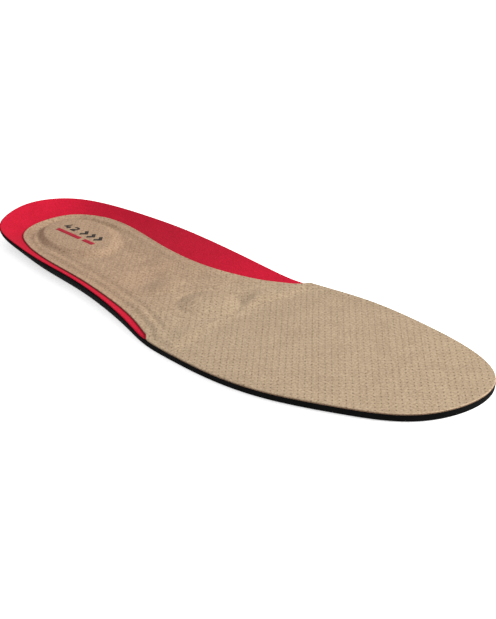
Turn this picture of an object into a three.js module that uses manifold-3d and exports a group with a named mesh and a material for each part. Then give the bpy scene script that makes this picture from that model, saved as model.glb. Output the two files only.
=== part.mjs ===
// Cushioned insole for a right shoe, EU 42.
// Millimetres, +X from heel to toe, +Y to the inner (arch) side of the foot, +Z up.
// It is a bonded stack: a moulded foam footbed with a heel cup and an arch flange, two cushion pads
// in pockets of the foam, a textile lining over the rear, a soft core sheet and a perforated top cover.
// The section rows below are written with x = 0 at the back of the heel rim; the finished group is
// then moved so that its origin is the middle of the underside's bounding box.
import * as THREE from 'three';
import { mergeVertices } from 'three/addons/utils/BufferGeometryUtils.js';
import Module from 'manifold-3d';

// Thicknesses and gaps, mm
const GAP = 0.3; // bond line between two layers
const LINING = 0.5; // textile lining
const CORE = 0.9; // soft core sheet under the cover
const COVER = 0.8; // perforated microfibre cover
const RIM_LIP = 0.5; // foam left bare outside the lining, along the rim

// Footbed, mm
const HEEL_BED = 2.0; // foam under the heel
const ARCH_BED = 2.4; // foam under the middle of the foot
const FORE_BED = 2.6; // foam under the ball and the toes
const POCKET_FLOOR = 0.9; // foam left under the pads
const ARCH_RISE = 2.0; // extra height of the bed along the inner arch
const ARCH_X = 98; // middle of the arch
const ARCH_HALF = 46; // half of the arch's length

// Section rows from heel to toe. Each side of a row is
// [rim x, rim y, rim z, undercut of the wall, cup width, cover inset],
// where the last three are measured inwards from the rim towards the middle of the foot.
const BACK = [-0.8, 2.8, 12.7, 8, 17, 9.6];
const SECTIONS = [
  { outer: [0.9, -11.5, 11.8, 10, 16, 11.2], inner: [3, 17.5, 11.5, 8, 17, 9.8] },
  { outer: [9.7, -22.9, 9.4, 10, 15, 11], inner: [12, 28.3, 9.6, 7, 17, 10.1] },
  { outer: [29, -26.5, 7.4, 6.2, 13, 6.2], inner: [30, 33.6, 9, 5, 18, 8.9] },
  { outer: [53, -29.2, 7.3, 4.2, 12, 5.1], inner: [53, 35.8, 9.1, 4.5, 20, 10.5] },
  { outer: [78, -30.4, 7.1, 3.3, 12, 4.4], inner: [78, 35.6, 9.8, 4, 25, 14.8] },
  { outer: [103, -33, 6.5, 2.4, 11, 4.1], inner: [103, 34.1, 10.2, 3.3, 27, 15.7] },
  { outer: [126, -37.1, 5.3, 1.5, 9, 4], inner: [124, 34.1, 9.1, 2.6, 23, 12.8] },
  { outer: [143, -40.4, 3.1, 0.5, 6, 1.8], inner: [142, 37.2, 5.4, 1.5, 14, 8.1] },
  { outer: [160, -41.6, 2.7, 0.4, 5, 0], inner: [157, 40.3, 2.8, 0.5, 8, 1.4] },
  { outer: [185, -41.2, 2.6, 0.4, 5, 0], inner: [184, 45.4, 2.6, 0.4, 5, 0] },
  { outer: [211, -36.5, 2.6, 0.4, 5, 0], inner: [212, 45.5, 2.6, 0.4, 5, 0] },
  { outer: [237, -26.1, 2.7, 0.4, 5, 0], inner: [241.5, 41.4, 2.6, 0.4, 5, 0] },
  { outer: [260.5, -11.6, 2.7, 0.4, 5, 0], inner: [263.8, 30.9, 2.6, 0.4, 5, 0] },
];
const TOE = [270.4, 10.9, 2.7, 0.4, 5, 0];
const STEPS_PER_ROW = 3; // mesh steps between two section rows
const MIDDLE_HEEL = [33, 3.1]; // the middle line of the mesh runs from here
const MIDDLE_TOE = [232, 7.4]; // to here
const LINING_FRONT = 26; // mesh step at the lining's front edge
const CORE_FRONT = 25; // mesh step at the core's front edge
const CORE_INSET = 5.6; // core's edge, inwards from the cover's edge
const CORE_RAMP = 1.8; // cover's slope down from the core's edge
const INSET_END = 0.8; // cover insets below this run out to the rim
const INNER_RINGS = 4; // mesh rings between the core's edge and the middle line

// Pads, mm: centre, half length, half width, turn, crown and edge margin in the foam
const HEEL_PAD = { x: 41.7, y: 1.7, long: 27, wide: 17.5, turn: -0.15, crown: 1.7 };
const MET_PAD = { x: 140.5, y: -4, long: 11.5, wide: 10.5, turn: 0.35, crown: 1.4 };
const PAD_FILLET = 0.62; // share of the pad's radius where its crown is full
const PAD_SHARE = 0.62; // pad's own crown, as a share of the raised form in the sheets above it

const MATERIALS = {
  foam: new THREE.MeshStandardMaterial({ name: 'foam', color: 0x17171a, roughness: 0.85 }),
  lining: new THREE.MeshStandardMaterial({ name: 'lining', color: 0xc41f3f, roughness: 0.95 }),
  core: new THREE.MeshStandardMaterial({ name: 'core', color: 0xd8d2c4, roughness: 0.9 }),
  cover: new THREE.MeshStandardMaterial({ name: 'cover', color: 0xb3946f, roughness: 0.9 }),
  pad: new THREE.MeshStandardMaterial({ name: 'pad', color: 0x2f6f8f, roughness: 0.6 }),
};

const smooth = (t) => {
  const c = Math.min(1, Math.max(0, t));
  return c * c * (3 - 2 * c);
};

// The closed rim line and its widths: two splines through the same rows.
function edgeCurves() {
  const outer = SECTIONS.map((row) => row.outer);
  const inner = SECTIONS.map((row) => row.inner).reverse();
  const rows = [BACK, ...outer, TOE, ...inner];
  const curve = (first) => new THREE.CatmullRomCurve3(
    rows.map((row) => new THREE.Vector3(...row.slice(first, first + 3))), true, 'catmullrom', 0.5);
  return { rim: curve(0), widths: curve(3) };
}

// Rays from the rim to the middle line, in pairs that share their inner end.
// A ray holds the rim point, the unit way inwards, its length and the three widths.
function makeRays() {
  const { rim, widths } = edgeCurves();
  const steps = (SECTIONS.length + 1) * STEPS_PER_ROW;
  const rays = [];
  for (let i = 0; i < 2 * steps; i += 1) {
    const pair = i <= steps ? i : 2 * steps - i;
    const a = rim.getPoint(pair / (2 * steps));
    const b = rim.getPoint(((2 * steps - pair) % (2 * steps)) / (2 * steps));
    const middle = a.clone().add(b).multiplyScalar(0.5);
    const end = new THREE.Vector2(middle.x, middle.y);
    if (middle.x < MIDDLE_HEEL[0]) end.set(...MIDDLE_HEEL);
    if (middle.x > MIDDLE_TOE[0]) end.set(...MIDDLE_TOE);
    const edge = i <= steps ? a : b;
    const w = widths.getPoint(i / (2 * steps));
    const run = new THREE.Vector2(end.x - edge.x, end.y - edge.y);
    rays.push({
      step: pair,
      edge,
      end,
      way: run.clone().normalize(),
      length: run.length(),
      undercut: w.x,
      cup: w.y,
      inset: Math.max(0, w.z) * smooth((w.z - INSET_END) / INSET_END),
    });
  }
  return rays;
}

// Height of a pad's crown at a plan point: full in the middle, falling smoothly to its outline.
function crown(pad, x, y) {
  const c = Math.cos(pad.turn);
  const s = Math.sin(pad.turn);
  const u = ((x - pad.x) * c + (y - pad.y) * s) / pad.long;
  const v = (-(x - pad.x) * s + (y - pad.y) * c) / pad.wide;
  return pad.crown * (1 - smooth((Math.hypot(u, v) - PAD_FILLET) / (1 - PAD_FILLET)));
}

// Plan point at a distance from the rim along a ray; the far end is exactly the shared one.
function planPoint(ray, d) {
  if (d >= ray.length) return [ray.end.x, ray.end.y];
  return [ray.edge.x + ray.way.x * d, ray.edge.y + ray.way.y * d];
}

// Height of the foam's upper face: the bed, the arch's rise, and the cup that climbs to the rim.
function foamTop(ray, d) {
  const [x, y] = planPoint(ray, d);
  const bed = x < ARCH_X
    ? HEEL_BED + (ARCH_BED - HEEL_BED) * smooth((x - 30) / (ARCH_X - 30))
    : ARCH_BED + (FORE_BED - ARCH_BED) * smooth((x - ARCH_X) / 60);
  const along = Math.max(0, 1 - ((x - ARCH_X) / ARCH_HALF) ** 2);
  const arch = ARCH_RISE * along * along * smooth((y - 2) / 30);
  const climb = Math.max(0, 1 - d / ray.cup) ** 1.8;
  const rimFoam = ray.edge.z - (ray.step <= LINING_FRONT ? LINING + GAP : 0);
  const low = bed + arch;
  return low + Math.max(0, rimFoam - low) * climb;
}

// Height of each interface above the foam at a mesh ring.
function stackHeight(layer, ray, d, inCore) {
  const [x, y] = planPoint(ray, d);
  const domes = crown(HEEL_PAD, x, y) + crown(MET_PAD, x, y);
  const liningTop = ray.step <= LINING_FRONT ? GAP + LINING : 0;
  const coreTop = inCore && ray.step <= CORE_FRONT ? GAP + CORE : 0;
  const base = foamTop(ray, d) + domes;
  const levels = {
    liningUnder: base + GAP,
    liningTop: base + GAP + LINING,
    coreUnder: base + liningTop + GAP,
    coreTop: base + liningTop + GAP + CORE,
    coverUnder: base + liningTop + coreTop + GAP,
    coverTop: base + liningTop + coreTop + GAP + COVER,
  };
  return levels[layer];
}

// Distances from the rim of the mesh rings of one layer, from its own edge to the middle line.
function ringDistances(ray, layer) {
  const inset = Math.min(ray.inset, ray.length * 0.5);
  const coreEdge = inset + CORE_INSET;
  const rings = [];
  if (layer !== 'core') {
    rings.push(inset + 0.02);
    rings.push(coreEdge - CORE_RAMP);
  }
  rings.push(coreEdge);
  for (let k = 1; k < INNER_RINGS; k += 1) {
    rings.push(coreEdge + (ray.length - coreEdge) * (k / INNER_RINGS));
  }
  rings.push(ray.length);
  if (layer === 'lining' || layer === 'foam') {
    const first = layer === 'foam' ? 0 : RIM_LIP;
    const cover = Math.max(inset + 0.02, RIM_LIP + 1);
    rings[0] = cover;
    rings.unshift(first + (cover - first) * 0.5);
    rings.unshift(first);
  }
  return rings;
}

// Adds a grid of points to a list of triangles; flip turns the faces over.
function addGrid(faces, grid, closed, flip) {
  const rows = closed ? grid.length : grid.length - 1;
  for (let i = 0; i < rows; i += 1) {
    const a = grid[i];
    const b = grid[(i + 1) % grid.length];
    for (let k = 0; k < a.length - 1; k += 1) {
      const quad = [[a[k], b[k], b[k + 1]], [a[k], b[k + 1], a[k + 1]]];
      quad.forEach((t) => faces.push(flip ? [t[0], t[2], t[1]] : t));
    }
  }
}

// Closed geometry from a list of triangles: equal corners are joined and empty triangles dropped.
function closedGeometry(faces) {
  const corners = new Float32Array(faces.flat(2));
  const soup = new THREE.BufferGeometry();
  soup.setAttribute('position', new THREE.BufferAttribute(corners, 3));
  const joined = mergeVertices(soup, 1e-4);
  const kept = [];
  const index = joined.getIndex().array;
  for (let i = 0; i < index.length; i += 3) {
    const [a, b, c] = index.slice(i, i + 3);
    if (a !== b && b !== c && a !== c) kept.push(a, b, c);
  }
  joined.setIndex(kept);
  return joined;
}

// The closed skin between an upper and a lower grid that share their plan edge.
function skin(upper, lower, closed) {
  const faces = [];
  addGrid(faces, upper, closed, false);
  addGrid(faces, lower, closed, true);
  const edge = upper.map((row, i) => [lower[i][0], row[0]]);
  addGrid(faces, edge, closed, false);
  if (!closed) {
    const last = upper.length - 1;
    addGrid(faces, [lower[0], upper[0]], false, false);
    addGrid(faces, [lower[last], upper[last]], false, true);
  }
  return closedGeometry(faces);
}

// The rays that a layer covers: all of them, or the rear ones from the outer to the inner front end.
function raysOf(rays, front) {
  if (front === undefined) return rays;
  const half = rays.length / 2;
  return [...rays.slice(2 * half - front), ...rays.slice(0, front + 1)];
}

// One sheet of the stack, between two named interfaces.
function sheetLayer(rays, layer, front) {
  const used = raysOf(rays, front);
  const grid = (level) => used.map((ray) => ringDistances(ray, layer).map((d, k, all) => {
    const inCore = all.length - 1 - k <= INNER_RINGS;
    return [...planPoint(ray, d), stackHeight(level, ray, d, inCore)];
  }));
  return skin(grid(`${layer}Top`), grid(`${layer}Under`), front === undefined);
}

// The foam block: flat underside, leaning wall, lip, and the upper face.
function foamBlock(rays) {
  const upper = rays.map((ray) => ringDistances(ray, 'foam').map(
    (d) => [...planPoint(ray, d), foamTop(ray, d)]));
  const wall = rays.map((ray, i) => {
    const top = upper[i][0];
    const rows = [[0, 1], [0.06, 0.72], [0.42, 0.28], [1, 0]];
    return rows.map(([inward, up]) => {
      const [x, y] = planPoint(ray, ray.undercut * inward);
      return [x, y, top[2] * up];
    });
  });
  const faces = [];
  addGrid(faces, upper, true, false);
  addGrid(faces, wall, true, true);
  const outline = wall.map((row) => row[row.length - 1]);
  const flat = outline.map(([x, y]) => new THREE.Vector2(x, y));
  THREE.ShapeUtils.triangulateShape(flat, []).forEach((t) => {
    const [a, b, c] = t.map((i) => outline[i]);
    const turn = (b[0] - a[0]) * (c[1] - a[1]) - (b[1] - a[1]) * (c[0] - a[0]);
    faces.push(turn > 0 ? [a, c, b] : [a, b, c]);
  });
  return closedGeometry(faces);
}

const wasm = await Module();
wasm.setup();

function toManifold(geometry) {
  return new wasm.Manifold(new wasm.Mesh({
    numProp: 3,
    vertProperties: new Float32Array(geometry.getAttribute('position').array),
    triVerts: new Uint32Array(geometry.getIndex().array),
  }));
}

function fromManifold(solid) {
  const mesh = solid.getMesh();
  const geometry = new THREE.BufferGeometry();
  geometry.setAttribute('position', new THREE.BufferAttribute(mesh.vertProperties, 3));
  geometry.setIndex(new THREE.BufferAttribute(mesh.triVerts, 1));
  return geometry;
}

// Points of a pad's outline, made smaller or larger by a margin.
function padRing(pad, share, margin, count) {
  return Array.from({ length: count }, (_, i) => {
    const a = (i / count) * 2 * Math.PI;
    const u = (pad.long * share + margin) * Math.cos(a);
    const v = (pad.wide * share + margin) * Math.sin(a);
    const c = Math.cos(pad.turn);
    const s = Math.sin(pad.turn);
    return [pad.x + u * c - v * s, pad.y + u * s + v * c];
  });
}

// A closed solid between two heights over a pad's outline.
function padSolid(pad, margin, low, high) {
  const count = 36;
  const shares = [1, 0.86, 0.72, PAD_FILLET, 0.3, 0];
  const at = (height) => Array.from({ length: count }, (_, i) => shares.map((share) => {
    const [x, y] = padRing(pad, share, share > 0 ? margin : 0, count)[i];
    return [x, y, height(x, y)];
  }));
  return skin(at(high), at(() => low), true);
}

// Foam height at any plan point, from the nearest ray that reaches it.
function bedHeight(rays, x, y) {
  const gaps = rays.map((ray) => {
    const along = (x - ray.edge.x) * ray.way.x + (y - ray.edge.y) * ray.way.y;
    const d = Math.min(ray.length, Math.max(0, along));
    const [px, py] = planPoint(ray, d);
    return [Math.hypot(px - x, py - y), foamTop(ray, d)];
  });
  gaps.sort((a, b) => a[0] - b[0]);
  return gaps[0][1];
}

function pocketed(foam, pads) {
  const cut = pads.map((pad) => toManifold(padSolid(pad, GAP, POCKET_FLOOR, () => 9)));
  return fromManifold(cut.reduce((solid, pocket) => solid.subtract(pocket), toManifold(foam)));
}

function cushionPad(rays, pad) {
  const top = (x, y) => bedHeight(rays, x, y) + PAD_SHARE * crown(pad, x, y) - GAP;
  return padSolid(pad, 0, POCKET_FLOOR + GAP, top);
}

function build() {
  const rays = makeRays();
  const group = new THREE.Group();
  const add = (name, geometry, material) => {
    geometry.computeVertexNormals();
    const mesh = new THREE.Mesh(geometry, material);
    mesh.name = name;
    group.add(mesh);
    return mesh;
  };
  const foam = pocketed(foamBlock(rays), [HEEL_PAD, MET_PAD]);
  const bed = add('foam_footbed', foam, MATERIALS.foam);
  add('heel_cushion', cushionPad(rays, HEEL_PAD), MATERIALS.pad);
  add('metatarsal_pad', cushionPad(rays, MET_PAD), MATERIALS.pad);
  add('heel_lining', sheetLayer(rays, 'lining', LINING_FRONT), MATERIALS.lining);
  add('core_sheet', sheetLayer(rays, 'core', CORE_FRONT), MATERIALS.core);
  add('top_cover', sheetLayer(rays, 'cover'), MATERIALS.cover);
  bed.geometry.computeBoundingBox();
  const middle = bed.geometry.boundingBox.getCenter(new THREE.Vector3());
  group.position.set(-middle.x, -middle.y, 0);
  group.updateMatrixWorld(true);
  return group;
}

const group = build();

export default group;
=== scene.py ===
"""Cushioned insole for a right shoe, EU 42 to 43: fine surfaces and their materials.

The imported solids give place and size. Every piece that shows is worked out again here as a fine surface
from the section rows of the insole, in millimetres, and dressed with the finish of the real material.
"""

import logging
import math
from dataclasses import dataclass, field
from enum import Enum
from typing import Any, Sequence

import bpy
import numpy as np
from mathutils import Matrix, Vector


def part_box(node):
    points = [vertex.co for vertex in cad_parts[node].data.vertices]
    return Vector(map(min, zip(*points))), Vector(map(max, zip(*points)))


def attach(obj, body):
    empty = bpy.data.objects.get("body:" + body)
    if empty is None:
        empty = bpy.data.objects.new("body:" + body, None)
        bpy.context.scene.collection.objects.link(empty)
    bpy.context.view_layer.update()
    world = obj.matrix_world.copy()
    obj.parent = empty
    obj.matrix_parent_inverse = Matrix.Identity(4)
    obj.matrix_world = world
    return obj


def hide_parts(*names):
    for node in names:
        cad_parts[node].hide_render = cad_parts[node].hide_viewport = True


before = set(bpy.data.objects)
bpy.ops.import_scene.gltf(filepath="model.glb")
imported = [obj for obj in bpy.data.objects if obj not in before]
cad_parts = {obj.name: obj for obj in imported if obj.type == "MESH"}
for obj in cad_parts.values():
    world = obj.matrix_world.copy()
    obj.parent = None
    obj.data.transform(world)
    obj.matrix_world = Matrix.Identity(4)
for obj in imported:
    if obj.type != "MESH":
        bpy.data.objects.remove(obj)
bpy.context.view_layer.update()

LOG = logging.getLogger("insole")
MM = 0.001
BOND = 0.02  # glue line between two layers, mm
WORN_INK = "#8F745B"  # suede that shows through the print

Array = np.ndarray
Pair = tuple[float, float]
Station = tuple[float, float, float, float, float, float]
Link = bpy.types.NodeSocket
Material = bpy.types.Material
Object = bpy.types.Object


# ---- shape helpers


def smooth(t: Array) -> Array:
    """Smooth step: 3 t^2 - 2 t^3 with t held between 0 and 1."""
    c = np.clip(t, 0.0, 1.0)
    return c * c * (3.0 - 2.0 * c)


@dataclass(frozen=True)
class Ramp:
    """A smooth rise from 0 to 1; a negative length runs it the other way."""

    start: float
    length: float

    def at(self, t: Array) -> Array:
        """Share of the rise at a place: smooth((t - start) / length)."""
        return smooth((t - self.start) / self.length)


def mix(first: Any, second: Any, share: Array) -> Array:
    """Goes from the first value to the second as the share goes from 0 to 1."""
    return first + (second - first) * share


def hump(t: Array) -> Array:
    """Smooth hump: (1 - t^2)^2 for t between -1 and 1, and 0 outside."""
    return np.clip(1.0 - np.square(t), 0.0, 1.0) ** 2


@dataclass(frozen=True)
class Ridge:
    """A smooth ridge, 1 at its middle and 0 beyond its half width."""

    middle: float
    half: float

    def at(self, t: Array) -> Array:
        """Share of the ridge's height at a place: hump((t - middle) / half)."""
        return hump((t - self.middle) / self.half)


def rounding(distance: Array, radius: float) -> Array:
    """Drop of a rounded edge of that radius at a distance inside it: r - sqrt(r^2 - (r - d)^2)."""
    t = np.clip((radius - distance) / radius, 0.0, 1.0)
    return radius * (1.0 - np.sqrt(1.0 - np.square(t)))


def closed_spline(points: Array, at: Array) -> Array:
    """Closed cubic spline through rows of points: m[i-1] + 4 m[i] + m[i+1] = 6 (p[i+1] - 2 p[i] + p[i-1]).

    Args:
        points: (n, c) rows that the curve passes through, in order.
        at: places along the curve, in rows from the first one.

    Returns:
        (len(at), c) points of the curve.
    """
    count = len(points)
    one = np.eye(count)
    system = 4.0 * one + np.roll(one, 1, axis=1) + np.roll(one, -1, axis=1)
    swing = np.roll(points, -1, axis=0) - 2.0 * points + np.roll(points, 1, axis=0)
    bend = np.linalg.solve(system, 6.0 * swing)
    first = np.floor(at).astype(int) % count
    after = (first + 1) % count
    f = (at - np.floor(at))[:, None]
    g = 1.0 - f
    straight = points[first] * g + points[after] * f
    return straight + ((g**3 - g) * bend[first] + (f**3 - f) * bend[after]) / 6.0


# ---- mesh helpers


@dataclass
class Patches:
    """Grids of points gathered into one mesh, each with a material number."""

    points: list[Array] = field(default_factory=list)
    quads: list[Array] = field(default_factory=list)
    finish: list[Array] = field(default_factory=list)
    count: int = 0

    def add(self, grid: Array, closed: bool = False, flip: bool = False, finish: int = 0) -> None:
        """Adds the quads of a grid.

        Args:
            grid: (n, m, 3) points in millimetres.
            closed: True where the last row joins the first.
            flip: True turns the faces over.
            finish: material number of its faces.
        """
        rows, columns = grid.shape[:2]
        number = np.arange(rows * columns).reshape(rows, columns) + self.count
        low = number if closed else number[:-1]
        high = np.roll(number, -1, axis=0) if closed else number[1:]
        quads = np.stack([low[:, :-1], high[:, :-1], high[:, 1:], low[:, 1:]], axis=-1).reshape(-1, 4)
        self.points.append(grid.reshape(-1, 3))
        self.quads.append(quads[:, ::-1] if flip else quads)
        self.finish.append(np.full(len(quads), finish))
        self.count += rows * columns

    def build(self, name: str, finishes: Sequence[Material], shift: Array) -> Object:
        """Makes the object, with equal points joined and collapsed quads turned into triangles.

        Args:
            name: the object's name.
            finishes: materials by number.
            shift: (3,) move from the section rows' origin to the frame's, in millimetres.

        Returns:
            The object at the origin, in metres, with smooth faces.
        """
        points = np.concatenate(self.points) + shift
        keys = np.round(points * 2000.0).astype(np.int64)
        _, kept, number = np.unique(keys, axis=0, return_index=True, return_inverse=True)
        quads = number.reshape(-1)[np.concatenate(self.quads)]
        finish = np.concatenate(self.finish)
        same = quads == np.roll(quads, -1, axis=1)
        crossed = (quads[:, 0] == quads[:, 2]) | (quads[:, 1] == quads[:, 3])
        whole = (same.sum(axis=1) == 0) & ~crossed
        partly = (same.sum(axis=1) == 1) & ~crossed
        triangles = quads[partly][~same[partly]].reshape(-1, 3)
        mesh = bpy.data.meshes.new(name)
        mesh.from_pydata((points[kept] * MM).tolist(), [], quads[whole].tolist() + triangles.tolist())
        for material in finishes:
            mesh.materials.append(material)
        mesh.polygons.foreach_set("material_index", np.concatenate([finish[whole], finish[partly]]))
        mesh.polygons.foreach_set("use_smooth", np.ones(len(mesh.polygons), dtype=bool))
        mesh.update()
        return add_object(name, mesh)


def add_object(name: str, data: Any, axes: Array | None = None) -> Object:
    """Adds an object to the scene; its axes and place are the columns of (3, 4) axes, in metres."""
    made = bpy.data.objects.new(name, data)
    if axes is not None:
        made.matrix_world = Matrix([*axes.tolist(), [0.0, 0.0, 0.0, 1.0]])
    bpy.context.scene.collection.objects.link(made)
    return made


def settle(piece: Object, slot: str, *nodes: str) -> None:
    """Rides a piece on the one body and hides the imported solids that it stands for."""
    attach(piece, "root")
    if nodes:
        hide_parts(*nodes)
    LOG.info("%s: %d faces", piece.name, len(piece.data.polygons))


# ---- plan of the insole


@dataclass(frozen=True)
class Rays:
    """Lines in plan from the rim to the foot's middle line, in pairs that share their end.

    One row each, starting at the back of the heel and going round by the outer side.
    """

    edge: Array
    end: Array
    way: Array
    length: Array
    undercut: Array
    cup: Array
    inset: Array

    @classmethod
    def between(cls, edge: Array, end: Array, widths: Array) -> "Rays":
        """Lines from rim points to their ends, with (rays, 3) widths: undercut, cup and inset."""
        run = end - edge[:, :2]
        length = np.hypot(run[:, 0], run[:, 1])
        return cls(edge, end, run / length[:, None], length, *widths.T)

    def distances(self, start: Array, near: Sequence[float], rest: int) -> Array:
        """(rays, rings) distances: near steps from a layer's own edge, then even ones to the middle line."""
        fixed = start[:, None] + np.asarray(near)[None, :]
        share = np.arange(1, rest + 1) / rest
        return np.hstack([fixed, fixed[:, -1:] + (self.length[:, None] - fixed[:, -1:]) * share])

    def plan(self, distance: Array, to_middle: bool = True) -> tuple[Array, Array]:
        """Plan points at (rays, rings) distances: edge + way * distance, ending on the middle line."""
        x = self.edge[:, :1] + self.way[:, :1] * distance
        y = self.edge[:, 1:2] + self.way[:, 1:2] * distance
        if to_middle:
            x[:, -1], y[:, -1] = self.end[:, 0], self.end[:, 1]
        return x, y


@dataclass(frozen=True)
class Spots:
    """Places on the plan, all (rays, rings): x, y and distance from the rim, with the lines they lie on."""

    x: Array
    y: Array
    distance: Array
    rays: Rays

    @property
    def inward(self) -> Array:
        """Distance inside the cover's edge."""
        return self.distance - self.rays.inset[:, None]


def fore_rows(*rims: tuple[float, float, float]) -> list[Station]:
    """Stations of the forefoot, where the wall, the cup and the inset no longer change."""
    return [(*rim, 0.4, 5, 0) for rim in rims]


@dataclass(frozen=True)
class FootPlan:
    """Section rows of the insole, in millimetres, with x = 0 near the back of the heel.

    A station is (rim x, rim y, rim z, undercut of the wall, cup width, cover inset). The last three are
    measured inwards from the rim. The outer side of the foot is -y. Where the inset comes down to its
    least value, the cover closes on the rim.
    """

    back: Station = (-0.8, 2.8, 12.7, 8, 17, 11.0)
    outer: tuple[Station, ...] = (
        (0.9, -11.5, 11.8, 10, 16, 11.2),
        (9.7, -22.9, 9.4, 10, 15, 11),
        (29, -26.5, 7.4, 6.2, 10.5, 6.6),
        (53, -29.2, 7.3, 4.2, 9.5, 5.3),
        (78, -30.4, 7.1, 3.3, 9.5, 4.4),
        (103, -33, 6.5, 2.4, 9, 4.1),
        (126, -37.1, 5.3, 1.5, 9, 4.0),
        (143, -40.4, 3.1, 0.5, 6, 2.2),
        *fore_rows((160, -41.6, 2.7), (185, -41.2, 2.6), (211, -36.5, 2.6), (237, -26.1, 2.7)),
        *fore_rows((260.5, -11.6, 2.7)),
    )
    inner: tuple[Station, ...] = (
        (3, 17.5, 11.5, 8, 17, 10.4),
        (12, 28.3, 9.6, 7, 17, 10.1),
        (30, 33.6, 9, 5, 18, 8.9),
        (53, 35.8, 9.1, 4.5, 20, 10.5),
        (78, 35.6, 9.8, 4, 25, 14.8),
        (103, 34.1, 10.2, 3.3, 27, 15.7),
        (124, 34.1, 9.1, 2.6, 23, 12.8),
        (142, 37.2, 5.6, 1.5, 14, 8.1),
        (157, 40.3, 3.8, 0.5, 8, 3.0),
        *fore_rows((184, 45.4, 3.0), (212, 45.5, 2.6), (241.5, 41.4, 2.6), (263.8, 30.9, 2.6)),
    )
    toe: Station = fore_rows((270.4, 10.9, 2.7))[0]
    middle_heel: Pair = (33, 3.1)
    middle_toe: Pair = (232, 7.4)
    least_outer: float = 1.5
    least_inner: float = 2.8
    closing: float = 0.8
    lead_rows: float = 2.0
    steps_per_row: int = 26

    def rays(self) -> Rays:
        """Works out the lines from the rim to the middle line.

        Returns:
            Lines whose pairs (i, n - i) meet halfway between their rim points, or at the middle line's
            ends behind and ahead of it.
        """
        rows = np.array([self.back, *self.outer, self.toe, *self.inner[::-1]], dtype=float)
        count = len(rows) * self.steps_per_row
        curve = closed_spline(rows, np.arange(count) / self.steps_per_row)
        edge, widths = curve[:, :3], np.maximum(curve[:, 3:], 0.0)
        least = np.where(np.arange(count) < count / 2, self.least_outer, self.least_inner)
        widths[:, 2] *= smooth((widths[:, 2] - least) / self.closing)
        end = (edge + edge[(-np.arange(count)) % count])[:, :2] / 2.0
        end[end[:, 0] < self.middle_heel[0]] = self.middle_heel
        end[end[:, 0] > self.middle_toe[0]] = self.middle_toe
        return Rays.between(edge, end, widths)

    def rear(self, rays: Rays, row: float, lead: float = 0.0) -> Rays:
        """The lines of the rear part, from the inner front end round the heel to the outer one.

        Args:
            rays: all lines.
            row: row of the front end.
            lead: rows by which the inner rim point runs ahead over the last lead_rows rows.

        Returns:
            The chosen lines, paired again so that both sides still meet on the middle line.
        """
        outer = np.arange(round(row * self.steps_per_row) + 1)
        ahead = lead * smooth((outer / self.steps_per_row - row + self.lead_rows) / self.lead_rows)
        inner = outer + np.rint(ahead * self.steps_per_row).astype(int)
        rows = np.concatenate([-inner[:0:-1], outer])
        edge = rays.edge[rows]
        middle = (edge + edge[::-1])[:, :2] / 2.0
        end = np.where((rows + rows[::-1] == 0)[:, None], rays.end[rows], middle)
        return Rays.between(edge, end, np.column_stack([rays.undercut, rays.cup, rays.inset])[rows])


# ---- pressed forms


@dataclass(frozen=True)
class OvalPad:
    """An oval cushion and the form that it raises in the sheets above it, in millimetres.

    Its half axes are long and wide, turned by turn radians. The form has a flank, a top that holds
    crowned_share of its rise, and a groove round it as deep as the moat. Over the front ramp, in half
    lengths, the flank widens by the fade and the groove comes down to its front_moat share.
    """

    x: float
    y: float
    long: float
    wide: float
    turn: float
    rise: float
    flank: float
    moat: float
    fade: float
    front_moat: float
    crowned_share: float = 0.18
    groove: Ridge = Ridge(-0.7, 1.9)
    front: Ramp = Ramp(-0.5, 1.25)

    def inside(self, x: Array, y: Array) -> Array:
        """Distance inside the oval, about (1 - q) q / |(u / a^2, v / b^2)| with q = |(u / a, v / b)|."""
        u, v = self.own_axes(x, y)
        q = np.hypot(u / self.long, v / self.wide)
        slope = np.maximum(np.hypot(u / self.long**2, v / self.wide**2), 1e-9)
        return (1.0 - q) * np.where(q < 1e-3, self.wide, q / slope)

    def own_axes(self, x: Array, y: Array) -> tuple[Array, Array]:
        """Plan points in the oval's own axes, the long one first."""
        c, s = math.cos(self.turn), math.sin(self.turn)
        u = (x - self.x) * c + (y - self.y) * s
        v = (y - self.y) * c - (x - self.x) * s
        return u, v

    def height(self, x: Array, y: Array) -> Array:
        """Height of the raised form at plan points."""
        depth = self.inside(x, y)
        front = self.front.at(self.own_axes(x, y)[0] / self.long)
        flank = smooth(depth / (self.flank * (1.0 + self.fade * front)))
        crown = np.clip(depth / self.wide, 0.0, 1.0)
        form = (1.0 - self.crowned_share) * flank + self.crowned_share * crown * (2.0 - crown)
        groove = self.groove.at(depth) * (1.0 - (1.0 - self.front_moat) * front)
        return self.rise * form - self.moat * groove

    def ring(self, angles: Array, shares: Array) -> tuple[Array, Array]:
        """Plan points at angles round the oval and at shares of its radius."""
        u = self.long * np.cos(angles)[:, None] * shares[None, :]
        v = self.wide * np.sin(angles)[:, None] * shares[None, :]
        c, s = math.cos(self.turn), math.sin(self.turn)
        return self.x + u * c - v * s, self.y + u * s + v * c


@dataclass(frozen=True)
class Swell:
    """A soft swelling or hollow of the bed, in millimetres: rise * hump(distance / radius)."""

    x: float
    y: float
    radius: float
    rise: float

    def height(self, x: Array, y: Array) -> Array:
        """Height of the swelling at plan points."""
        return self.rise * hump(np.hypot(x - self.x, y - self.y) / self.radius)


# ---- layers


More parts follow.
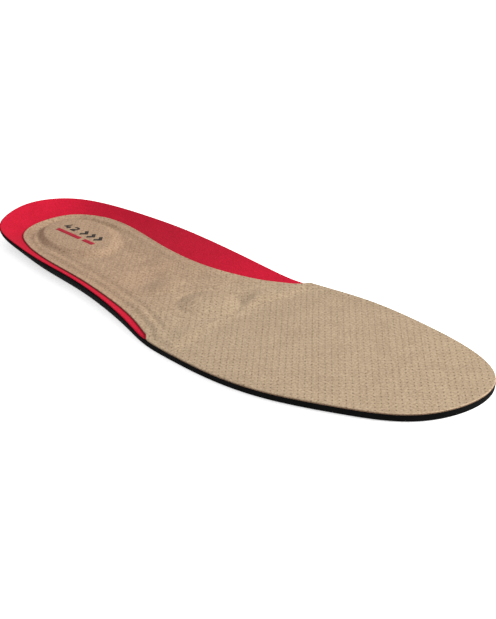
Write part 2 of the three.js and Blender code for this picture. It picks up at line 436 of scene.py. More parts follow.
@dataclass(frozen=True)
class Stack:
    """Heights of the glued layers over the plan, in millimetres.

    Ramps and ridges named by x or y run along the foot or across it; "side" ones run inwards from the
    cover's edge, and "front" ones are measured ahead of the lining's front edge.
    """

    heel_pad: OvalPad = OvalPad(
        x=41.7, y=1.7, long=27.0, wide=17.5, turn=-0.15, rise=1.8,
        flank=2.5, moat=0.5, fade=1.6, front_moat=0.2,
    )
    met_pad: OvalPad = OvalPad(
        x=141.0, y=-3.4, long=13.0, wide=12.0, turn=0.5, rise=1.05,
        flank=7.0, moat=0.3, fade=0.1, front_moat=1.0,
    )
    swells: tuple[Swell, ...] = (
        *(Swell(93, 10, 9, 0.3), Swell(103, -8, 13, -1.0), Swell(113, -5, 10, 0.8), Swell(123, -23, 10, 0.6)),
        *(Swell(146.5, 9.6, 7, -0.6), Swell(151.5, 16.5, 7, 0.5), Swell(155, -28, 8, 0.6)),
    )
    heel_bed: float = 2.6
    arch_bed: float = 3.0
    fore_bed: float = 2.85
    pocket_floor: float = 1.0
    arch_rise: float = 2.0
    arch_x: Ridge = Ridge(98.0, 46.0)
    rear_level_x: Ramp = Ramp(30.0, 68.0)
    front_level_x: Ramp = Ramp(98.0, 60.0)
    arch_y: Ramp = Ramp(2.0, 30.0)
    cup_power: float = 1.8
    bare_inset: float = 1.4
    bare_rise: float = 0.25
    lining: float = 0.55
    core: float = 0.95
    cover: float = 0.8
    recess: float = 0.4
    step_x: float = 151.5
    step_middle_y: float = 2.0
    step_curve: float = 0.003
    step_bend: float = 2.5
    step_bend_y: Ridge = Ridge(27.0, 14.0)
    lining_side: Ramp = Ramp(1.5, 4.0)
    lining_front: float = 0.8
    lining_ramp: Pair = (7.0, 3.5)
    lining_ramp_y: Ramp = Ramp(3.0, 10.0)
    core_inset: float = 2.7
    core_slope: float = 3.0
    core_inner: float = 2.0
    core_inner_y: Ramp = Ramp(6.0, 10.0)
    core_heel: float = 4.0
    core_heel_x: Ramp = Ramp(26.0, -16.0)
    core_ramp: Pair = (12.0, 5.0)
    core_ramp_y: Ramp = Ramp(5.0, 10.0)
    lip: float = 0.4
    lip_front: Ridge = Ridge(-0.8, 3.4)
    lip_y: Ramp = Ramp(5.0, 7.0)
    line_depth: float = 0.36
    outer_line_side: Ridge = Ridge(8.1, 2.3)
    outer_line_y: Ramp = Ramp(6.0, -12.0)
    inner_line_side: Ridge = Ridge(5.9, 2.2)
    inner_line_y: Ramp = Ramp(4.0, 12.0)
    inner_line_x: Ramp = Ramp(50.0, 25.0)
    inner_line_shares: Pair = (0.7, 0.2)
    line_back_x: Ramp = Ramp(16.0, 14.0)
    line_front_x: Ramp = Ramp(150.0, -12.0)

    def step(self, x: Array, y: Array) -> Array:
        """Distance ahead of the lining's front edge, a shallow curve that bends forward at its sides."""
        curve = self.step_curve * np.square(y - self.step_middle_y)
        return x - self.step_x - curve - self.step_bend * self.step_bend_y.at(y)

    def bed(self, x: Array, y: Array) -> Array:
        """Foam height without the cup: heel, arch and forefoot levels blended, and the arch's rise."""
        rear = mix(self.heel_bed, self.arch_bed, self.rear_level_x.at(x))
        front = mix(self.arch_bed, self.fore_bed, self.front_level_x.at(x))
        arch = self.arch_rise * self.arch_x.at(x) * self.arch_y.at(y)
        swell = sum(form.height(x, y) for form in self.swells)
        return np.where(x < self.arch_x.middle, rear, front) + arch + swell

    def bare(self, rays: Rays) -> Array:
        """1 where the cover reaches the rim, 0 where the lining shows, one value per ray."""
        return 1.0 - smooth(rays.inset / self.bare_inset)

    def foam(self, spots: Spots) -> Array:
        """Foam height: the bed with the core's recess, and a cup climbing as (1 - d / width)^power."""
        climb = np.clip(1.0 - spots.distance / spots.rays.cup[:, None], 0.0, 1.0) ** self.cup_power
        bare = self.bare(spots.rays)
        rim = spots.rays.edge[:, 2] - (self.lining + BOND) * (1.0 - bare) + self.bare_rise * bare
        low = self.bed(spots.x, spots.y)
        recess = self.recess * self.core_share(spots)
        return low + np.maximum(rim[:, None] - low, 0.0) * climb - recess

    def forms(self, x: Array, y: Array) -> Array:
        """What the two pads raise in the sheets above them."""
        return self.heel_pad.height(x, y) + self.met_pad.height(x, y)

    def lining_share(self, spots: Spots) -> Array:
        """1 where the lining lies under the cover, falling to 0 ahead of its front and side edges."""
        side = 1.0 - self.bare(spots.rays)[:, None] * (1.0 - self.lining_side.at(spots.distance))
        ramp = mix(*self.lining_ramp, self.lining_ramp_y.at(spots.y))
        return (1.0 - smooth((self.step(spots.x, spots.y) - self.lining_front) / ramp)) * side

    def core_share(self, spots: Spots) -> Array:
        """1 where the core lies under the cover, falling to 0 over its sloped edge."""
        start = self.core_inset - self.core_inner * self.core_inner_y.at(spots.y)
        start = start + self.core_heel * self.core_heel_x.at(spots.x)
        side = smooth((spots.inward - start) / self.core_slope)
        ramp = mix(*self.core_ramp, self.core_ramp_y.at(spots.y))
        return side * (1.0 - smooth(self.step(spots.x, spots.y) / ramp + 1.0))

    def front_lip(self, x: Array, y: Array) -> Array:
        """A low ridge of the cover along the inner part of the lining's front edge."""
        return self.lip * self.lip_front.at(self.step(x, y)) * self.lip_y.at(y)

    def pressed_line(self, spots: Spots) -> Array:
        """A groove that follows the tongue's two sides inside the core's edge, pressed into the cover."""
        x, y = spots.x, spots.y
        outer = self.outer_line_side.at(spots.inward) * self.outer_line_y.at(y)
        share = mix(*self.inner_line_shares, self.inner_line_x.at(x))
        inner = self.inner_line_side.at(spots.inward) * self.inner_line_y.at(y) * share
        return -self.line_depth * (outer + inner) * self.line_back_x.at(x) * self.line_front_x.at(x)

    def cover_under(self, spots: Spots) -> Array:
        """Underside of the cover: foam, raised forms and the sheets between."""
        x, y = spots.x, spots.y
        sheets = self.lining_share(spots) * (self.lining + BOND)
        sheets = sheets + self.core_share(spots) * (self.core + BOND)
        pressed = self.pressed_line(spots) + self.front_lip(x, y)
        return self.foam(spots) + BOND + sheets + self.forms(x, y) + pressed

    def cover_top_inside(self, x: Array, y: Array) -> Array:
        """Top of the cover well inside its edge, where every layer is at full height."""
        sheets = BOND + self.lining + BOND + self.core + BOND + self.cover
        return self.bed(x, y) - self.recess + sheets + self.forms(x, y)


# ---- materials


def linear(code: str) -> tuple[float, float, float, float]:
    """Linear colour of an sRGB hex code: ((c + 0.055) / 1.055)^2.4, or c / 12.92 when dark."""
    parts = [int(code[i : i + 2], 16) / 255.0 for i in (1, 3, 5)]
    red, green, blue = [c / 12.92 if c <= 0.04045 else ((c + 0.055) / 1.055) ** 2.4 for c in parts]
    return red, green, blue, 1.0


class Look:
    """A material in the making, and the procedural patterns that its colour and relief come from."""

    def __init__(self, name: str, **shader: Any) -> None:
        """Starts from a Principled shader; keyword names are socket names with _ for spaces."""
        self.material = bpy.data.materials.new(name)
        self.material.use_nodes = True
        self.tree = self.material.node_tree
        self.shader = self.tree.nodes["Principled BSDF"]
        for key, value in shader.items():
            self.shader.inputs[key.replace("_", " ")].default_value = value

    def node(self, kind: str, inputs: dict[Any, Any], output: Any = 0, **settings: Any) -> Link:
        """Adds a shader node.

        Args:
            kind: the node's type name without its first word.
            inputs: values or output sockets by input name or number.
            output: name or number of the output that is wanted.
            settings: the node's own options.

        Returns:
            The output socket.
        """
        node = self.tree.nodes.new("ShaderNode" + kind)
        for name, value in settings.items():
            setattr(node, name, value)
        for name, value in inputs.items():
            if isinstance(value, Link):
                self.tree.links.new(value, node.inputs[name])
            else:
                node.inputs[name].default_value = value
        return node.outputs[output]

    def place(self, turn: float = 0.0, stretch: Sequence[float] = (1, 1, 1)) -> Link:
        """Object coordinates, stretched and turned about the vertical, in metres."""
        where = self.node("TexCoord", {}, "Object")
        return self.node("Mapping", {"Vector": where, "Rotation": (0.0, 0.0, turn), "Scale": tuple(stretch)})

    def grain(self, where: Link, size_mm: float, detail: float = 2.0) -> Link:
        """Noise whose blobs are about size_mm across, from 0 to 1."""
        inputs = {"Vector": where, "Scale": 1.0 / (size_mm * MM), "Detail": detail, "Roughness": 0.55}
        return self.node("TexNoise", inputs)

    def ranged(self, value: Link, low: float, high: float, start: float = 0.0, end: float = 1.0) -> Link:
        """Maps a value from low..high to start..end by a smooth step."""
        inputs = {"Value": value, "From Min": low, "From Max": high, "To Min": start, "To Max": end}
        return self.node("MapRange", inputs, interpolation_type="SMOOTHSTEP")

    def blend(self, share: Any, first: Any, second: Any, mode: str = "MIX") -> Link:
        """Mixes two colours by a share."""
        return self.node("Mix", {0: share, 6: first, 7: second}, 2, data_type="RGBA", blend_type=mode)

    def two_tone(self, value: Link, tones: Sequence[str], low: float = 0.3, high: float = 0.7) -> Link:
        """Colour that goes from the first tone to the second as a value goes from low to high."""
        return self.blend(self.ranged(value, low, high), *(linear(tone) for tone in tones))

    def combine(self, operation: str, first: Any, second: Any, third: Any = 0.0) -> Link:
        """One step of arithmetic on values."""
        return self.node("Math", {0: first, 1: second, 2: third}, operation=operation)

    def dress(self, colour: Link, height: Link | None = None, depth_mm: float = 0.0) -> Material:
        """Ends with the colour, and a relief of that height map whose full depth is depth_mm."""
        self.tree.links.new(colour, self.shader.inputs["Base Color"])
        if height:
            bump = self.node("Bump", {"Height": height, "Distance": depth_mm * MM, "Strength": 1.0})
            self.tree.links.new(bump, self.shader.inputs["Normal"])
        return self.material


@dataclass(frozen=True)
class PerforatedMicrofibre:
    """Suede-finished microfibre in a dull, slightly blotchy tan, punched with holes in diagonal rows; the
    holes carry painted shade.
    """

    tones: tuple[str, str] = ("#8F7862", "#BEA58B")
    fleck: str = "#8A6E54"
    # painted shade inside the punched holes: a darker brown than the suede
    painted_hole_shade: str = "#756049"
    nap_tint: str = "#E8D5BE"
    pitch_mm: float = 2.5
    hole_mm: float = 0.55
    nap_mm: float = 0.9
    patch_mm: float = 7.0
    fleck_mm: float = 2.2
    # size of the noise that varies the painted shade in the holes
    hole_shade_noise_mm: float = 3.0
    relief_mm: float = 0.3
    # painted light and shade along the foot: the heel end darker and pinker, the toe end paler
    rear_painted_shade: tuple[float, ...] = (1.0, 0.95, 0.93, 1.0)
    front_painted_light: tuple[float, ...] = (1.0, 1.045, 1.045, 1.0)
    painted_light_x_m: Pair = (-0.04, 0.02)
    # painted hole shade: its share of the hole colour goes from the first share at the heel to the second
    # towards the toe
    hole_shade_x_m: Pair = (-0.06, 0.03)
    hole_shade_shares: Pair = (0.4, 0.85)

    def holes(self, look: Look) -> Link:
        """1 in the punched holes: distance to the nearest point of a square net turned by 45 degrees."""
        net = look.place(math.radians(45.0), [1.0 / (self.pitch_mm * MM)] * 3)
        cell = look.node("VectorMath", {0: net}, operation="FRACTION")
        centred = look.node("VectorMath", {0: cell, 1: (-0.5, -0.5, -0.5)}, operation="ADD")
        flat = look.node("VectorMath", {0: centred, 1: (1.0, 1.0, 0.0)}, operation="MULTIPLY")
        reach = look.node("VectorMath", {0: flat}, "Value", operation="LENGTH")
        radius = self.hole_mm / self.pitch_mm / 2.0
        return look.ranged(reach, radius * 0.75, radius * 1.35, 1.0, 0.0)

    def material(self) -> Material:
        """Builds the material."""
        sheen = {"Sheen_Weight": 0.03, "Sheen_Roughness": 0.5, "Sheen_Tint": linear(self.nap_tint)}
        look = Look("perforated_microfibre_suede", Roughness=0.94, Specular_IOR_Level=0.25, **sheen)
        where = look.place()
        patches = look.ranged(look.grain(where, self.patch_mm, 4.0), 0.3, 0.7)
        nap = look.grain(where, self.nap_mm, 3.0)
        tone = look.combine("MULTIPLY_ADD", patches, 0.07, 0.05)
        tone = look.combine("MULTIPLY_ADD", nap, 0.85, tone)
        fleck = look.ranged(look.grain(where, self.fleck_mm, 1.0), 0.74, 0.8, 0.0, 0.5)
        base = look.blend(fleck, look.two_tone(tone, self.tones, 0.25, 0.85), linear(self.fleck))
        # painted shade towards the heel and painted light towards the toe, multiplied into the suede colour
        lengthwise = look.node("SeparateXYZ", {0: where})
        painted_light_and_shade = look.blend(look.ranged(lengthwise, *self.painted_light_x_m), self.rear_painted_shade, self.front_painted_light)
        base = look.blend(1.0, base, painted_light_and_shade, "MULTIPLY")
        # painted shade in the holes: the hole mask, weaker towards the heel and varied by noise, mixes the
        # suede towards the darker brown
        holes = self.holes(look)
        print_wear_and_hole_shade = look.ranged(lengthwise, *self.hole_shade_x_m, *self.hole_shade_shares)
        hole_shade_noise = look.ranged(look.grain(where, self.hole_shade_noise_mm, 1.0), 0.3, 0.7, 0.45, 1.0)
        hole_shade = look.combine("MULTIPLY", holes, look.combine("MULTIPLY", print_wear_and_hole_shade, hole_shade_noise))
        height = look.combine("SUBTRACT", look.combine("MULTIPLY", nap, 0.35), holes)
        return look.dress(look.blend(hole_shade, base, linear(self.painted_hole_shade)), height, self.relief_mm)


@dataclass(frozen=True)
class BrushedKnit:
    """Brushed polyester knit: a raised, fuzzy red pile that stays matt and lightens at grazing angles."""

    tones: tuple[str, str] = ("#A8142B", "#C41A35")
    pile_tint: str = "#FF5A70"
    loop_mm: float = 0.7
    brush_mm: float = 6.0
    relief_mm: float = 0.22

    def material(self) -> Material:
        """Builds the material."""
        sheen = {"Sheen_Weight": 0.04, "Sheen_Roughness": 0.45, "Sheen_Tint": linear(self.pile_tint)}
        look = Look("brushed_polyester_knit", Roughness=0.95, Specular_IOR_Level=0.1, **sheen)
        loops = look.grain(look.place(0.35, (1.0, 1.7, 1.0)), self.loop_mm, 3.0)
        strokes = look.grain(look.place(), self.brush_mm, 3.0)
        tone = look.combine("MULTIPLY_ADD", strokes, 0.2, 0.0)
        tone = look.combine("MULTIPLY_ADD", loops, 0.8, tone)
        return look.dress(look.two_tone(tone, self.tones), loops, self.relief_mm)


@dataclass(frozen=True)
class MouldedFoam:
    """Moulded polyurethane foam: a near-black skin with a fine pebbled grain and hardly any shine."""

    tones: tuple[str, str] = ("#030303", "#0A0A0B")
    pebble_mm: float = 0.5
    cloud_mm: float = 11.0
    relief_mm: float = 0.12

    def material(self) -> Material:
        """Builds the material."""
        look = Look("moulded_polyurethane_foam", Roughness=0.9, Specular_IOR_Level=0.05)
        where = look.place()
        pebble = look.grain(where, self.pebble_mm, 3.0)
        cloud = look.grain(where, self.cloud_mm, 2.0)
        tone = look.combine("MULTIPLY_ADD", cloud, 0.5, 0.0)
        tone = look.combine("MULTIPLY_ADD", pebble, 0.5, tone)
        return look.dress(look.two_tone(tone, self.tones), pebble, self.relief_mm)


@dataclass(frozen=True)
class CutEdge:
    """The cut side of the cover: compressed fibre and scorched backing, darker than its face."""

    tones: tuple[str, str] = ("#4A382B", "#7B6350")
    fibre_mm: float = 0.35
    relief_mm: float = 0.15

    def material(self) -> Material:
        """Builds the material."""
        look = Look("cut_microfibre_edge", Roughness=0.95, Specular_IOR_Level=0.2)
        fibre = look.grain(look.place(), self.fibre_mm, 2.0)
        return look.dress(look.two_tone(fibre, self.tones), fibre, self.relief_mm)


@dataclass(frozen=True)
class SoftGel:
    """Soft polyurethane gel: smooth, slightly clear blue rubber."""

    tones: tuple[str, str] = ("#2F6A88", "#3E7F9E")
    cloud_mm: float = 5.0

    def material(self) -> Material:
        """Builds the material."""
        look = Look("soft_polyurethane_gel", Roughness=0.35, Subsurface_Weight=0.4, Subsurface_Scale=0.002)
        cloud = look.grain(look.place(), self.cloud_mm, 2.0)
        return look.dress(look.blend(cloud, *(linear(tone) for tone in self.tones)))


@dataclass(frozen=True)
class OpenFoam:
    """Open-cell foam sheet: off-white with small open bubbles."""

    tones: tuple[str, str] = ("#B9B09E", "#DDD6C8")
    bubble_mm: float = 0.8
    relief_mm: float = 0.2

    def material(self) -> Material:
        """Builds the material."""
        look = Look("open_cell_foam", Roughness=0.9, Specular_IOR_Level=0.2)
        cells = look.node("TexVoronoi", {"Vector": look.place(), "Scale": 1.0 / (self.bubble_mm * MM)})
        return look.dress(look.two_tone(cells, self.tones, 0.1, 0.6), cells, self.relief_mm)


class Ink(Enum):
    """Printing inks of the size mark, by colour."""

    CHARCOAL = "#2A2523"
    RED = "#A3122C"

    def material(self) -> Material:
        """Screen-printing ink on suede: matt, a little rubbed away where the nap stands through it."""
        look = Look(f"print_ink_{self.name.lower()}", Roughness=0.8, Specular_IOR_Level=0.3)
        nap = look.grain(look.place(), 0.6, 2.0)
        print_wear_and_hole_shade = look.ranged(nap, 0.58, 0.78, 0.0, 0.45)
        return look.dress(look.blend(print_wear_and_hole_shade, linear(self.value), linear(WORN_INK)), nap, 0.12)


# ---- pieces


@dataclass
class Insole:
    """What every piece shares: the plan, the layer heights and the move into the frame."""

    plan: FootPlan = field(default_factory=FootPlan)
    stack: Stack = field(default_factory=Stack)

    def __post_init__(self) -> None:
        """Works out the lines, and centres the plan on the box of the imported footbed."""
        self.rays = self.plan.rays()
        low, high = (np.array(corner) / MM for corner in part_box("foam_footbed"))
        own = (self.rays.edge[:, :2].min(axis=0) + self.rays.edge[:, :2].max(axis=0)) / 2.0
        self.shift = np.array([*((low + high)[:2] / 2.0 - own), low[2]])

    def surface(self, rays: Rays, distance: Array, height: Any) -> Array:
        """Points at distances from the rim, with a height function of their spots."""
        x, y = rays.plan(distance)
        z = height(Spots(x, y, distance, rays))
        closed = len(z) == len(self.rays.length)
        pair = (-np.arange(len(z))) % len(z) if closed else slice(None, None, -1)
        z[:, -1] = (z[:, -1] + z[pair, -1]) / 2.0
        return np.stack([x, y, z], axis=-1)


def side_strip(lower: Array, upper: Array, bulge: float, steps: int) -> Array:
    """Cut side of a sheet, evenly from its lower edge to its upper one, pushed out by bulge * sin(pi t)."""
    t = np.linspace(0.0, 1.0, steps)[None, :, None]
    low, high = lower[:, :1], upper[:, :1]
    outward = low - lower[:, 1:2]
    outward[..., 2] = 0.0
    outward /= np.maximum(np.linalg.norm(outward, axis=-1, keepdims=True), 1e-9)
    return low + (high - low) * t + outward * bulge * np.sin(np.pi * t)


@dataclass
class Footbed:
    """The moulded foam block: flat underside, leaning wall, rounded lip, bed and pad pockets."""

    insole: Insole
    lip_radius: float = 0.3
    base_radius: float = 0.6
    lean: float = 2.1
    pocket_gap: float = 0.4
    wall_steps: int = 18
    base_rings: int = 6
    near: tuple[float, ...] = (0, 0.12, 0.3, 0.6, 1, 1.6, 2.4, 3.4, 4.6, 6, 7.5, 9)
    rest: int = 20

    def top(self, spots: Spots) -> Array:
        """Upper face: the foam height, sunk to the pocket floor inside each pad's outline."""
        stack = self.insole.stack
        z = stack.foam(spots)
        for pad in (stack.heel_pad, stack.met_pad):
            pocket = smooth((pad.inside(spots.x, spots.y) + self.pocket_gap) / self.pocket_gap)
            z = z + (stack.pocket_floor - z) * pocket
        return z

    def wall(self, rim: Array) -> Array:
        """(rays, steps, 3) points up to the rim's heights: inward = undercut (1 - s)^lean, edges rounded."""
        rays = self.insole.rays
        s = 0.5 - 0.5 * np.cos(np.linspace(0.0, math.pi, self.wall_steps))
        z = rim[:, None] * s[None, :]
        inward = rays.undercut[:, None] * (1.0 - s[None, :]) ** self.lean
        inward = inward + rounding(z, self.base_radius) + rounding(rim[:, None] - z, self.lip_radius)
        x, y = rays.plan(inward, to_middle=False)
        return np.stack([x, y, z], axis=-1)

    def build(self) -> None:
        """Makes the footbed."""
        rays = self.insole.rays
        lip = np.full(len(rays.length), self.lip_radius)
        distance = rays.distances(lip, self.near, self.rest)
        upper = self.insole.surface(rays, distance, self.top)
        wall = self.wall(upper[:, 0, 2])
        upper[:, 0] = wall[:, -1]
        base = rays.distances(rays.undercut + self.base_radius, [0.0], self.base_rings)
        lower = self.insole.surface(rays, base, lambda spots: np.zeros_like(spots.x))
        lower[:, 0] = wall[:, 0]
        patches = Patches()
        patches.add(upper, closed=True)
        patches.add(wall, closed=True)
        patches.add(lower, closed=True, flip=True)
        piece = patches.build("footbed_foam", [MouldedFoam().material()], self.insole.shift)
        settle(piece, "foam", "foam_footbed")


@dataclass
class Pads:
    """The two cushions that lie in the footbed's pockets."""

    insole: Insole
    around: int = 96
    rings: int = 22
    ring_power: float = 1.2
    bulge: float = 0.1
    side_steps: int = 5

    def build(self) -> None:
        """Makes both pads: a flat bottom, an upright side and a top that follows the raised form."""
        stack = self.insole.stack
        gel = SoftGel().material()
        for name, node, pad in (
            ("heel_gel_pad", "heel_cushion", stack.heel_pad),
            ("metatarsal_gel_pad", "metatarsal_pad", stack.met_pad),
        ):
            angles = np.linspace(0.0, 2.0 * math.pi, self.around, endpoint=False)
            shares = 1.0 - np.linspace(0.0, 1.0, self.rings) ** self.ring_power
            x, y = pad.ring(angles, shares)
            top = stack.bed(x, y) - stack.recess + np.maximum(pad.height(x, y), 0.0) - BOND
            floor = np.full_like(x, stack.pocket_floor + BOND)
            upper, lower = np.stack([x, y, top], -1), np.stack([x, y, floor], -1)
            patches = Patches()
            patches.add(upper, closed=True)
            patches.add(lower, closed=True, flip=True)
            patches.add(side_strip(lower, upper, self.bulge, self.side_steps), closed=True)
            piece = patches.build(name, [gel], self.insole.shift)
            settle(piece, "pad_gel", node)


@dataclass
class Sheet:
    """A glued sheet: near and rest are the mesh steps by its edge and over the rest of it."""

    insole: Insole
    thick: float
    near: tuple[float, ...]
    rest: int = 20
    edge_radius: float = 0.4

    def start(self, rays: Rays) -> Array:
        """Distance of the sheet's edge from the rim, one per ray."""
        raise NotImplementedError

    def under(self, spots: Spots) -> Array:
        """Height of the sheet's underside."""
        raise NotImplementedError

    def top(self, spots: Spots) -> Array:
        """Upper face, one thickness higher and rounded off at the cut edge."""
        drop = rounding(spots.distance - self.start(spots.rays)[:, None], self.edge_radius)
        return self.under(spots) + self.thick - drop


@dataclass
class RearSheet(Sheet):
    """A sheet of the rear part, open at its front edge."""

    below: float = BOND
    front_row: float = 8.2
    lead: float = 0.0

    def under(self, spots: Spots) -> Array:
        """Above the foam by what lies below, and raised over the pads."""
        stack = self.insole.stack
        return stack.foam(spots) + self.below + stack.forms(spots.x, spots.y)

    def shell(self, name: str, finish: Material) -> Object:
        """Closes the two faces with the cut side and the front side."""
        rays = self.insole.plan.rear(self.insole.rays, self.front_row, self.lead)
        distance = rays.distances(self.start(rays), self.near, self.rest)
        upper = self.insole.surface(rays, distance, self.top)
        lower = self.insole.surface(rays, distance, self.under)
        patches = Patches()
        patches.add(upper)
        patches.add(lower, flip=True)
        patches.add(side_strip(lower, upper, 0.0, 2))
        patches.add(np.stack([lower[0], upper[0]]))
        patches.add(np.stack([lower[-1], upper[-1]]), flip=True)
        return patches.build(name, [finish], self.insole.shift)


@dataclass
class HeelLining(RearSheet):
    """The red brushed lining: over the heel cup, the arch flange and the rear bed, up to the lip."""

    thick: float = Stack.lining
    near: tuple[float, ...] = (0, 0.08, 0.2, 0.4, 0.7, 1.1, 1.6, 2.2, 3, 4, 5, 6, 7.2, 8.4, 9.6)
    front_row: float = 8.55
    lead: float = 0.5
    lip: float = 0.45
    tuck: float = 3.4

    def start(self, rays: Rays) -> Array:
        """Just inside the foam lip, and tucked further in where the cover reaches the rim."""
        return self.lip + self.tuck * self.insole.stack.bare(rays)

    def build(self) -> None:
        """Makes the lining."""
        piece = self.shell("heel_lining_textile", BrushedKnit().material())
        settle(piece, "lining_textile", "heel_lining")


@dataclass
class CoreSheet(RearSheet):
    """The soft sheet under the rear of the cover; its edge raises the line that follows the tongue."""

    thick: float = Stack.core
    near: tuple[float, ...] = (0, 0.5, 1, 1.6, 2.2, 3)
    below: float = BOND + Stack.lining + BOND
    feather: float = 0.04
    trim: float = 0.4

    def start(self, rays: Rays) -> Array:
        """Inside the cover's edge by the core's inset and a little of its slope."""
        return rays.inset + self.insole.stack.core_inset + self.trim

    def top(self, spots: Spots) -> Array:
        """Just below the cover, with a feathered edge."""
        stack = self.insole.stack
        thick = np.maximum(self.thick * stack.core_share(spots), self.feather)
        return self.under(spots) + np.maximum(thick + stack.pressed_line(spots), self.feather)

    def build(self) -> None:
        """Makes the core sheet."""
        piece = self.shell("core_foam_sheet", OpenFoam().material())
        settle(piece, "core_foam", "core_sheet")


@dataclass
class TopCover(Sheet):
    """The perforated cover: the whole forefoot, narrowing to a round-ended tongue in the heel."""

    thick: float = Stack.cover
    edge_radius: float = 0.35
    near: tuple[float, ...] = (
        *(0, 0.05, 0.13, 0.24, 0.38, 0.6, 0.95, 1.4, 1.9, 2.4),
        *(round(2.9 + 0.4 * i, 1) for i in range(19)),
        *(10.6, 11.2, 12),
    )
    rest: int = 28
    least: float = 0.12
    coarse_rings: int = 14

    def start(self, rays: Rays) -> Array:
        """At the cover's inset from the rim, never quite at the foam's side."""
        return np.maximum(rays.inset, self.least)

    def under(self, spots: Spots) -> Array:
        """Underside, from the layers below."""
        return self.insole.stack.cover_under(spots)

    def build(self) -> None:
        """Makes the cover, its cut side in its own finish."""
        rays = self.insole.rays
        start, coarse = self.start(rays), self.near[:1] + self.near[6::4]
        upper = self.insole.surface(rays, rays.distances(start, self.near, self.rest), self.top)
        lower = self.insole.surface(rays, rays.distances(start, coarse, self.coarse_rings), self.under)
        patches = Patches()
        patches.add(upper, closed=True)
        patches.add(lower, closed=True, flip=True, finish=1)
        patches.add(side_strip(lower, upper, 0.06, 4), closed=True, finish=1)
        finishes = [PerforatedMicrofibre().material(), CutEdge().material()]
        piece = patches.build("top_cover_microfibre", finishes, self.insole.shift)
        settle(piece, "cover_microfibre", "top_cover")


@dataclass
class SizeMark:
    """A plain printed size mark on the heel: two digits and three chevrons over two bars."""

    insole: Insole
    x: float = 26.0
    y: float = 2.3
    height: float = 4.4
    stroke: float = 1.15
    film: float = 0.05
    gap: float = 0.01
    spacing: float = 0.5
    mitre: float = 0.6

    def drape(self, flat: Array, lift: float) -> Array:
        """Lays plan points of the mark on the cover: z = cover top + lift."""
        x, y = flat[..., 0] + self.x, flat[..., 1] + self.y
        return np.stack([x, y, self.insole.stack.cover_top_inside(x, y) + lift], axis=-1)

    def ribbon(self, path: Sequence[Pair], width: float) -> Array:
        """A band of that width along a path: each point moved both ways along the mitred normal."""
        points = np.array(path, dtype=float)
        runs = np.diff(points, axis=0)
        runs /= np.linalg.norm(runs, axis=1, keepdims=True)
        ahead, behind = np.vstack([runs, runs[-1:]]), np.vstack([runs[:1], runs])
        mean = ahead + behind
        mean /= np.linalg.norm(mean, axis=1, keepdims=True)
        normal = np.stack([-mean[:, 1], mean[:, 0]], axis=-1)
        normal /= np.maximum((mean * ahead).sum(axis=1, keepdims=True), self.mitre)
        across = np.linspace(0.5, -0.5, 5)[None, :, None] * width
        return points[:, None] + normal[:, None] * across

    def band(self, path: Sequence[Pair], width: float, patches: Patches) -> None:
        """Adds a closed band of ink along the straight runs of a path, with evenly spaced points."""
        dense = []
        for start, end in zip(path[:-1], path[1:]):
            steps = max(2, round(math.dist(start, end) / self.spacing))
            dense += [tuple(point) for point in np.linspace(start, end, steps, endpoint=False)]
        flat = self.ribbon([*dense, path[-1]], width)
        top, bottom = self.drape(flat, self.film), self.drape(flat, self.gap)
        patches.add(top, flip=True)
        patches.add(bottom)
        for k in (0, -1):
            patches.add(np.stack([bottom[:, k], top[:, k]], axis=1), flip=k == 0)
            patches.add(np.stack([bottom[k], top[k]]), flip=k == 0)

    def digits(self, patches: Patches) -> None:
        """Draws a 4 and a 2 as bands between the foot line and the head line."""
        for path in (
            [(2.0, self.height), (0.5, 1.5), (4.3, 1.5)],
            [(3.1, 2.6), (3.1, 2.0)],
            [(3.1, 1.0), (3.1, 0.0)],
            [(5.9, 3.1), (6.4, 3.7), (8.3, 3.7), (8.9, 3.0), (8.6, 2.2), (6.2, 0.5), (9.4, 0.5)],
        ):
            self.band(path, self.stroke, patches)

    def build(self) -> None:
        """Makes the digits, the chevrons beside them and the bars under them."""
        number, dark, red = Patches(), Patches(), Patches()
        self.digits(number)
        for left in (14.0, 19.6, 25.2):
            chevron = [(left, 0.0), (left + 2.4, self.height / 2.0), (left, self.height)]
            self.band(chevron, self.stroke * 1.5, dark)
        for left, right in ((0.2, 19.0), (21.5, 29.5)):
            self.band([(left, -3.2), (right, -3.2)], self.stroke * 2.0, red)
        ink = Ink.CHARCOAL.material()
        for patches, name, finish in (
            (number, "size_number", ink),
            (dark, "size_chevrons", ink),
            (red, "size_bars", Ink.RED.material()),
        ):
            settle(patches.build(name, [finish], self.insole.shift), "cover_microfibre")


# ---- studio


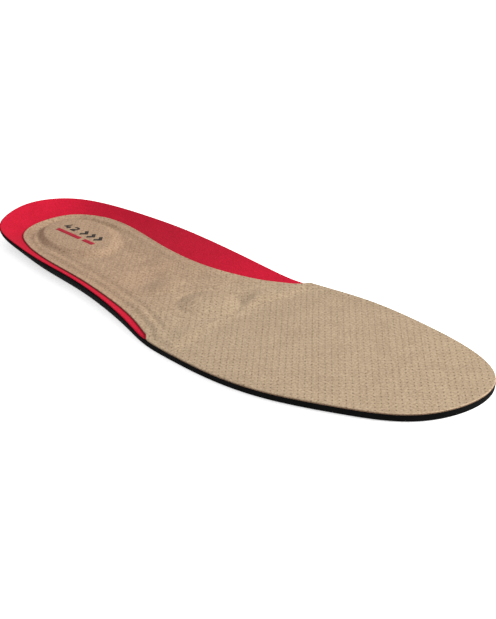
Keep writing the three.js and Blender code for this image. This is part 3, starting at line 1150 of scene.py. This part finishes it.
@dataclass
class Studio:
    """Pale floor, soft lights and the camera."""

    insole: Insole
    target: tuple[float, float, float] = (146.3, 8.8, 0.0)
    azimuth: float = 49.56
    elevation: float = 25.66
    roll: float = -2.89
    distance: float = 540.6
    lens: float = 74.48
    sensor: float = 36.0
    shift_x: float = 0.01384
    shift_y: float = -0.0023
    floor_half_m: float = 3.0
    floor_z_m: float = -0.0002
    floor_glow: float = 0.55
    sky: float = 0.63

    def camera(self) -> None:
        """Places the camera on a sphere round its target, then rolls it about its own axis."""
        a, e, r = (math.radians(angle) for angle in (self.azimuth, self.elevation, self.roll))
        back = np.array([math.sin(a) * math.cos(e), -math.cos(a) * math.cos(e), math.sin(e)])
        right = np.array([math.cos(a), math.sin(a), 0.0])
        up = np.cross(back, right)
        across = right * math.cos(r) + up * math.sin(r)
        above = up * math.cos(r) - right * math.sin(r)
        place_m = (np.array(self.target) + self.insole.shift + back * self.distance) * MM
        data = bpy.data.cameras.new("camera")
        data.lens, data.sensor_width = self.lens, self.sensor
        data.shift_x, data.shift_y = self.shift_x, self.shift_y
        data.clip_start, data.clip_end = 0.01, 20.0
        axes = np.column_stack([across, above, back, place_m])
        bpy.context.scene.camera = add_object("camera", data, axes)

    def light(self, name: str, place_m: Sequence[float], size: float, power: float, tint: str) -> None:
        """Adds a square area light that faces the middle of the insole."""
        data = bpy.data.lights.new(name, "AREA")
        data.shape, data.size, data.energy = "SQUARE", size, power
        data.color = linear(tint)[:3]
        way = np.array(place_m) / np.linalg.norm(place_m)
        side = np.cross([0.0, 0.0, 1.0], way)
        side /= np.linalg.norm(side)
        add_object(name, data, np.column_stack([side, np.cross(way, side), way, place_m]))

    def floor(self) -> None:
        """A wide pale plane just under the insole."""
        mesh = bpy.data.meshes.new("floor")
        half, z = self.floor_half_m, self.floor_z_m
        corners = [(-half, -half, z), (half, -half, z), (half, half, z), (-half, half, z)]
        mesh.from_pydata(corners, [], [(0, 1, 2, 3)])
        white = linear("#FFFFFF")
        glow = {"Emission_Color": white, "Emission_Strength": self.floor_glow}
        mesh.materials.append(Look("matt_white_paper", Base_Color=white, Roughness=1.0, **glow).material)
        add_object("floor", mesh)

    def build(self) -> None:
        """Makes camera, floor, sky and lights."""
        self.camera()
        self.floor()
        world = bpy.data.worlds.new("sky")
        world.use_nodes = True
        background = world.node_tree.nodes["Background"].inputs
        background["Color"].default_value = (1.0, 1.0, 1.0, 1.0)
        background["Strength"].default_value = self.sky
        bpy.context.scene.world = world
        bpy.context.scene.view_settings.view_transform = "Standard"
        self.light("key", (0.93, 0.62, 0.68), 0.4, 20.0, "#FFFDF8")
        self.light("front", (0.5, -1.1, 0.8), 1.0, 1.8, "#FFFFFF")


def main() -> None:
    """Builds the studio and the insole from the inside out."""
    logging.basicConfig(level=logging.INFO, format="%(name)s: %(message)s")
    insole = Insole()
    for maker in (Studio, Footbed, Pads, HeelLining, CoreSheet, TopCover, SizeMark):
        maker(insole).build()


if __name__ == "__main__":
    main()
